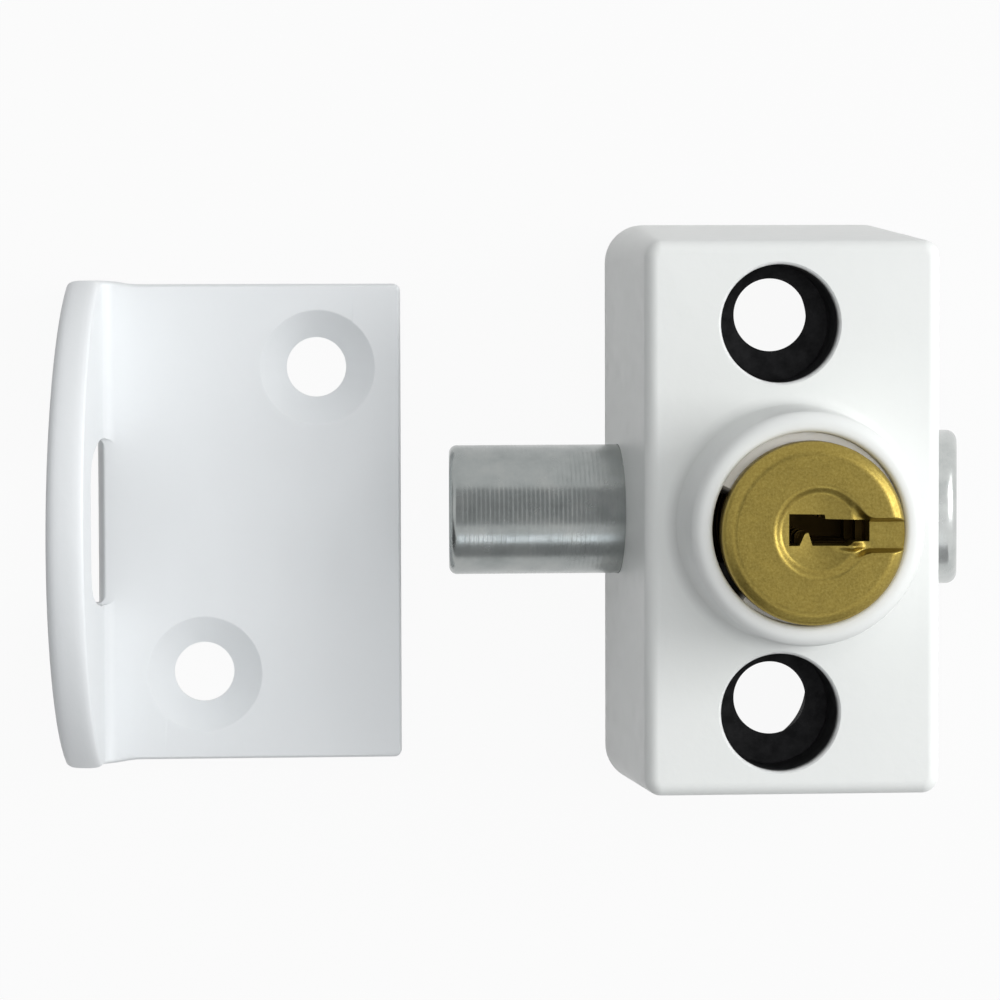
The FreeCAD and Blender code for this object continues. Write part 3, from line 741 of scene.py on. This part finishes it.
def plug_barrel():
    # the solid plug below its head, with its slots
    mesh = frame["nodes"]["lock_plug"].data.copy()
    bm = bmesh.new()
    bm.from_mesh(mesh)
    everything = bm.verts[:] + bm.edges[:] + bm.faces[:]
    cut = (0, 0, BARREL_TOP * MM)
    bmesh.ops.bisect_plane(bm, geom=everything, plane_co=cut, plane_no=(0, 0, 1), clear_outer=True)
    bm.to_mesh(mesh)
    bm.free()
    barrel = link("plug_barrel", mesh)
    # the barrel is painted dark brown, a painted shade down the keyway
    dress(barrel, BRASS_PAINTED_SHADE)
    soften(barrel, 30)
    return barrel


def plug():
    for obj in (plug_head(), plug_barrel()):
        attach(obj, "plug")
        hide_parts("lock_plug")


def sleeve():
    # the solid sleeve with a notch in its rim on the left, deepest in its middle
    start = 148
    sweep = 84
    steps = 24
    notch_top = 30.6
    notch_depth = 3.2
    above = 31.0
    obj = link("sleeve_rim", frame["nodes"]["plug_sleeve"].data.copy())
    sections = []
    for i in range(steps + 1):
        share = i / steps
        a = math.radians(start + sweep * share)
        low = notch_top - notch_depth * math.sin(HALF_TURN * share) ** 0.6
        across = [(6.0, low), (9.0, low), (9.0, above), (6.0, above)]
        sections.append([(r * math.cos(a), CYLINDER_Y + r * math.sin(a), z) for r, z in across])
    combine(obj, mesh_object("notch", *skin(sections)))
    dress(obj, SLEEVE)
    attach(obj, "housing")
    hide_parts("plug_sleeve")


# Keep plate


KEEP_RIGHT = -28.1
KEEP_BEND = -51.4
KEEP_Y = -1.13
KEEP_HALF = 18.65
KEEP_TOP = 18.5
KEEP_T = 2.6
KEEP_HORN = 1.6
KEEP_CROWN_R = 19.75
LEAN = math.radians(4.7)
INNER_R = 1.0
BEND_TURN = math.pi / 2 - LEAN
SETBACK = INNER_R * math.tan(BEND_TURN / 2)
FLAT_LENGTH = KEEP_RIGHT - KEEP_BEND - SETBACK
BEND_LENGTH = INNER_R * BEND_TURN
CROWN = (KEEP_TOP - KEEP_T) / math.cos(LEAN) - SETBACK
WIDER_SHARE = 0.016
THICKER = 0.3
THICKEST_Y = -7
THICKER_FALL = 0.34
KEEP_HOLES = ((-34.65, 12.11), (-43.59, -11.89))
KEEP_HOLE_R = 2.35

# the painted edge is domed: (inset, depth below the inner face)
EDGE_SECTION = (
    (0.3, 0.0),
    (0.2, 0.06),
    (0.11, 0.2),
    (0.04, 0.45),
    (0.005, 0.8),
    (0.0, 1.2),
    (0.01, 1.6),
    (0.04, 1.95),
    (0.1, 2.2),
    (0.2, 2.4),
    (0.36, 2.54),
    (0.56, KEEP_T),
)

SLOT_HALF = 6.5
SLOT_Y = KEEP_Y + 0.15
SLOT_TOP = 12.8
SLOT_FALL = 7.9
ROLL_STEPS = 10


def keep_outline():
    # outline of the unfolded keep: (distance from the plate's edge towards the crown, distance across)
    centre = FLAT_LENGTH + BEND_LENGTH + CROWN - KEEP_CROWN_R
    # corner circle that touches the end line and the crown arc from inside
    cy = KEEP_HALF - KEEP_HORN
    cx = centre + math.sqrt((KEEP_CROWN_R - KEEP_HORN) ** 2 - cy**2)
    meet = math.degrees(math.atan2(cy, cx - centre))
    corner = 0.6
    bend_from = FLAT_LENGTH - 1.5
    upper = arc((corner, KEEP_HALF - corner), corner, 180, 90, 6)
    upper += [(FLAT_LENGTH * i / 6, KEEP_HALF) for i in range(1, 6)]
    upper += [(bend_from + i * (cx - bend_from) / 8, KEEP_HALF) for i in range(8)]
    upper += arc((cx, cy), KEEP_HORN, 90, meet, 8)
    crown = arc((centre, 0), KEEP_CROWN_R, meet, -meet, 56)
    lower = [(u, -v) for u, v in reversed(upper)]
    return upper + crown[1:-1] + lower


def inset_loop(loop, amount):
    count = len(loop)
    moved = []
    for i in range(count):
        before = Vector(loop[i - 1])
        here = Vector(loop[i])
        after = Vector(loop[(i + 1) % count])
        along = (after - here).normalized() + (here - before).normalized()
        along.normalize()
        normal = Vector((along.y, -along.x))
        moved.append(tuple(here + normal * amount))
    return moved


def fold(u, v, depth):
    # the bent end swells a little past the flat one, and the flange is thickest below its middle
    bent = ease((u - FLAT_LENGTH + 1.8) / 2.6)
    v *= 1 + WIDER_SHARE * bent
    swell = THICKER - THICKER_FALL * ((v - THICKEST_Y) / 24) ** 2
    depth *= 1 + swell * bent / KEEP_T
    if u <= FLAT_LENGTH:
        x = KEEP_RIGHT - u
        z = KEEP_T - depth
    elif u <= FLAT_LENGTH + BEND_LENGTH:
        a = (u - FLAT_LENGTH) / INNER_R
        x = KEEP_BEND + SETBACK - (INNER_R + depth) * math.sin(a)
        z = KEEP_T + INNER_R - (INNER_R + depth) * math.cos(a)
    else:
        s = u - FLAT_LENGTH - BEND_LENGTH + SETBACK
        x = KEEP_BEND - math.sin(LEAN) * s - math.cos(LEAN) * depth
        z = KEEP_T + math.cos(LEAN) * s - math.sin(LEAN) * depth
    return x, v + KEEP_Y, max(z, 0.0)


def flat_keep():
    loop = keep_outline()
    rings = []
    for inset, depth in EDGE_SECTION:
        rings.append([(u, v, -depth) for u, v in inset_loop(loop, inset)])
    sides = skin(rings, False, False)
    top = fill_between(rings[0], [], 0.0)
    bottom = fill_between(rings[-1], [], -KEEP_T)
    keep = joined("keep_casting", [sides, top, bottom])
    for x, y in KEEP_HOLES:
        sink = [(KEEP_HOLE_R, -4), (KEEP_HOLE_R, -2.15), (4.42, -0.08), (4.6, 0.02), (4.6, 1)]
        combine(keep, turned("sink", sink, SMALL_ROUND, KEEP_RIGHT - x, y))
    return keep


def fold_keep(keep):
    bm = bmesh.new()
    bm.from_mesh(keep.data)
    cuts = [FLAT_LENGTH - back for back in (1.8, 1.4, 1.0, 0.6, 0.3, 0.1)]
    cuts += [FLAT_LENGTH + BEND_LENGTH * i / 14 for i in range(15)]
    for at in cuts:
        everything = bm.verts[:] + bm.edges[:] + bm.faces[:]
        bmesh.ops.bisect_plane(bm, geom=everything, plane_co=(at * MM, 0, 0), plane_no=(1, 0, 0))
    for vert in bm.verts:
        u, v, depth = (c / MM for c in vert.co)
        x, y, z = fold(u, v, -depth)
        vert.co = Vector((x * MM, y * MM, z * MM))
    bmesh.ops.recalc_face_normals(bm, faces=bm.faces)
    bm.to_mesh(keep.data)
    bm.free()


def slot_window(far):
    # the slot's roof falls away steeply at both ends, like an arch
    roof = []
    for back in (0.0, 0.12, 0.25, 0.4, 0.6, 0.85, 1.15, 1.6, 2.2, 3.2):
        roof.append((SLOT_HALF - back, SLOT_TOP - SLOT_FALL * math.exp(-back / 0.8)))
    loop = [(-SLOT_HALF, KEEP_T), (SLOT_HALF, KEEP_T)] + roof
    loop += [(-across, z) for across, z in reversed(roof)]
    sections = [[(x, SLOT_Y + across, z) for across, z in loop] for x in (far, KEEP_BEND + 0.2)]
    return mesh_object("slot", *skin(sections))


def slot_foot(far):
    # the plate's edge rolls over into the slot
    roll_x = 0.55
    right = KEEP_BEND + 0.1
    roll = [(far, -1), (far, KEEP_T + 0.5), (right, KEEP_T + 0.5)]
    for i in range(ROLL_STEPS + 1):
        a = HALF_TURN / 2 * i / ROLL_STEPS
        roll.append((right - roll_x * math.sin(a), KEEP_T * math.cos(a)))
    roll.append((right - roll_x, -1))
    ends = (-SLOT_HALF - 1, SLOT_HALF + 1)
    foot = mesh_object("slot_low", *skin([[(x, SLOT_Y + across, z) for x, z in roll] for across in ends]))
    plan = rounded_loop((right - far) / 2, SLOT_HALF, 0.8, (right + far) / 2, SLOT_Y)
    combine(foot, prism("slot_plan", plan, -2, KEEP_T + 1), "INTERSECT")
    return foot


def slot_tool():
    start = KEEP_BEND + INNER_R
    far = KEEP_BEND - 8
    middle = (far + start) / 2
    tool = slot_window(far)
    # seen from above the slot has rounded corners
    plan = rounded_loop(start - middle, SLOT_HALF, 1.0, middle, SLOT_Y)
    combine(tool, prism("slot_fold", plan, KEEP_T, KEEP_T + 1.6), "UNION")
    combine(tool, slot_foot(far), "UNION")
    return tool


def keep_plate():
    keep = flat_keep()
    fold_keep(keep)
    combine(keep, slot_tool())
    weld(keep)
    dress(keep, COOL)
    smooth(keep, 35)
    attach(keep, "housing")
    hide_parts("keep_plate")


lock_body()
bolt()
plug()
sleeve()
keep_plate()


# Pieces shown as they are


PLAIN_PIECES = (
    (ZINC, ("back_plate", "back_plate_screws", "bolt_stop_pin", "latch_screws", "plug_washer")),
    # the cam and its screw, seen down the keyway, are painted near black as painted shade
    (STEEL_PAINTED_SHADE, ("lift_cam", "cam_screw")),
    (SPRING, ("return_spring", "latch_spring", "wafer_springs")),
    # the wafers are painted dark brown, a painted shade down the keyway
    (BRASS_PAINTED_SHADE, ("wafer_1", "wafer_2", "wafer_3", "wafer_4", "wafer_5")),
)

for mat, nodes in PLAIN_PIECES:
    for node in nodes:
        dress(frame["nodes"][node], mat)


# Floor, room and lamps


WHITE = (1, 1, 1, 1)


def larger(tree, first, second):
    node = tree.nodes.new("ShaderNodeMath")
    node.operation = "MAXIMUM"
    tree.links.new(first, node.inputs[0])
    tree.links.new(second, node.inputs[1])
    return node.outputs[0]


def seen_share(tree):
    # 1 for what cameras, gloss and glass see, 0 for light and shadow
    path = tree.nodes.new("ShaderNodeLightPath")
    camera_or_gloss = larger(tree, path.outputs["Is Camera Ray"], path.outputs["Is Glossy Ray"])
    return larger(tree, camera_or_gloss, path.outputs["Is Transmission Ray"])


def mixed(tree, share, plain, shown, out):
    mix = tree.nodes.new("ShaderNodeMixShader")
    tree.links.new(share, mix.inputs["Fac"])
    tree.links.new(plain, mix.inputs[1])
    tree.links.new(shown, mix.inputs[2])
    tree.links.new(mix.outputs[0], out.inputs["Surface"])


def floor():
    size = 3000
    z = -0.05
    white_share = 0.94
    corners = [(-size, -size, z), (size, -size, z), (size, size, z), (-size, size, z)]
    obj = mesh_object("floor", corners, [(0, 1, 2, 3)])
    mat, tree, bsdf = shader("pale_floor", (0.45, 0.45, 0.45), roughness=0.7)
    glow = tree.nodes.new("ShaderNodeEmission")
    glow.inputs["Color"].default_value = WHITE
    glow.inputs["Strength"].default_value = 1.0
    share = tree.nodes.new("ShaderNodeMath")
    share.operation = "MULTIPLY"
    share.inputs[1].default_value = white_share
    tree.links.new(seen_share(tree), share.inputs[0])
    mixed(tree, share.outputs[0], bsdf.outputs[0], glow.outputs[0], tree.nodes["Material Output"])
    dress(obj, mat)


def card(name, glow, corners):
    # a dim part of the room, seen only in reflections
    obj = mesh_object(name, corners, [(0, 1, 2, 3)])
    mat, tree, bsdf = shader(name, (0.02, 0.02, 0.02), roughness=0.9)
    bsdf.inputs["Emission Color"].default_value = (0.98, 0.99, 1.0, 1)
    bsdf.inputs["Emission Strength"].default_value = glow
    dress(obj, mat)
    obj.visible_camera = False
    obj.visible_diffuse = False
    obj.visible_shadow = False


def upright_card(name, glow, start, end, height):
    card(name, glow, [(*start, 0), (*end, 0), (*end, height), (*start, height)])


def world():
    # the room is bright on the right and above and dim on the left
    bright_side = (0.75, 0.3, 0.62)
    scene = bpy.context.scene
    if scene.world is None:
        scene.world = bpy.data.worlds.new("room")
    scene.world.use_nodes = True
    tree = scene.world.node_tree
    tree.nodes.clear()
    place = tree.nodes.new("ShaderNodeTexCoord")
    slant = tree.nodes.new("ShaderNodeVectorMath")
    slant.operation = "DOT_PRODUCT"
    slant.inputs[1].default_value = bright_side
    tree.links.new(place.outputs["Generated"], slant.inputs[0])
    room = span(tree, slant.outputs["Value"], -0.6, 1.0, 0.0, 0.9)
    back = tree.nodes.new("ShaderNodeBackground")
    back.inputs["Color"].default_value = (0.97, 0.985, 1.0, 1)
    tree.links.new(room.outputs["Result"], back.inputs["Strength"])
    white = tree.nodes.new("ShaderNodeBackground")
    white.inputs["Color"].default_value = WHITE
    white.inputs["Strength"].default_value = 1.0
    out = tree.nodes.new("ShaderNodeOutputWorld")
    mixed(tree, seen_share(tree), back.outputs[0], white.outputs[0], out)


def lamp(name, place, size, power, color=(1, 1, 1)):
    aim = Vector((0, 0, 12)) * MM
    data = bpy.data.lights.new(name, "AREA")
    data.shape = "RECTANGLE"
    data.size = size[0] * MM
    data.size_y = size[1] * MM
    data.energy = power
    data.color = color
    obj = link(name, data)
    obj.location = Vector(place) * MM
    obj.rotation_euler = (aim - obj.location).to_track_quat("-Z", "Y").to_euler()


def camera():
    # fitted to the photograph: focal length over picture width, place and turns about Z, X and Y
    picture_width = 36.0
    focal = 4.27811
    place = Vector((-46.346, 17.738, 337.870)) * MM
    turn = Matrix.Rotation(0.00253, 3, "Z")
    turn = turn @ Matrix.Rotation(0.05125, 3, "X")
    turn = turn @ Matrix.Rotation(0.07741, 3, "Y")
    data = bpy.data.cameras.new("photo_camera")
    data.sensor_fit = "HORIZONTAL"
    data.sensor_width = picture_width
    data.lens = picture_width * focal
    data.clip_start = 0.01
    data.clip_end = 100
    obj = link("photo_camera", data)
    obj.matrix_world = Matrix.Translation(place) @ turn.transposed().to_4x4()
    bpy.context.scene.camera = obj


floor()
card("dim_card", 0.36, [(-150, -235, 520), (96, -235, 520), (96, 440, 520), (-150, 440, 520)])
upright_card("left_card", 0.06, start=(-424, -142), end=(-142, -424), height=400)
upright_card("low_card", 0.36, start=(-230, -350), end=(230, -350), height=222)
upright_card("far_card", 0.45, start=(-320, -200), end=(-320, 200), height=190)
world()
lamp("key_right", place=(470, 95, 300), size=(330, 330), power=1.7)
lamp("ceiling", place=(-20, 60, 640), size=(260, 260), power=0.5)
lamp("low_window", place=(22, -365, 300), size=(56, 100), power=0.045, color=(0.84, 0.92, 1.0))
camera()
bpy.context.scene.view_settings.view_transform = "Standard"
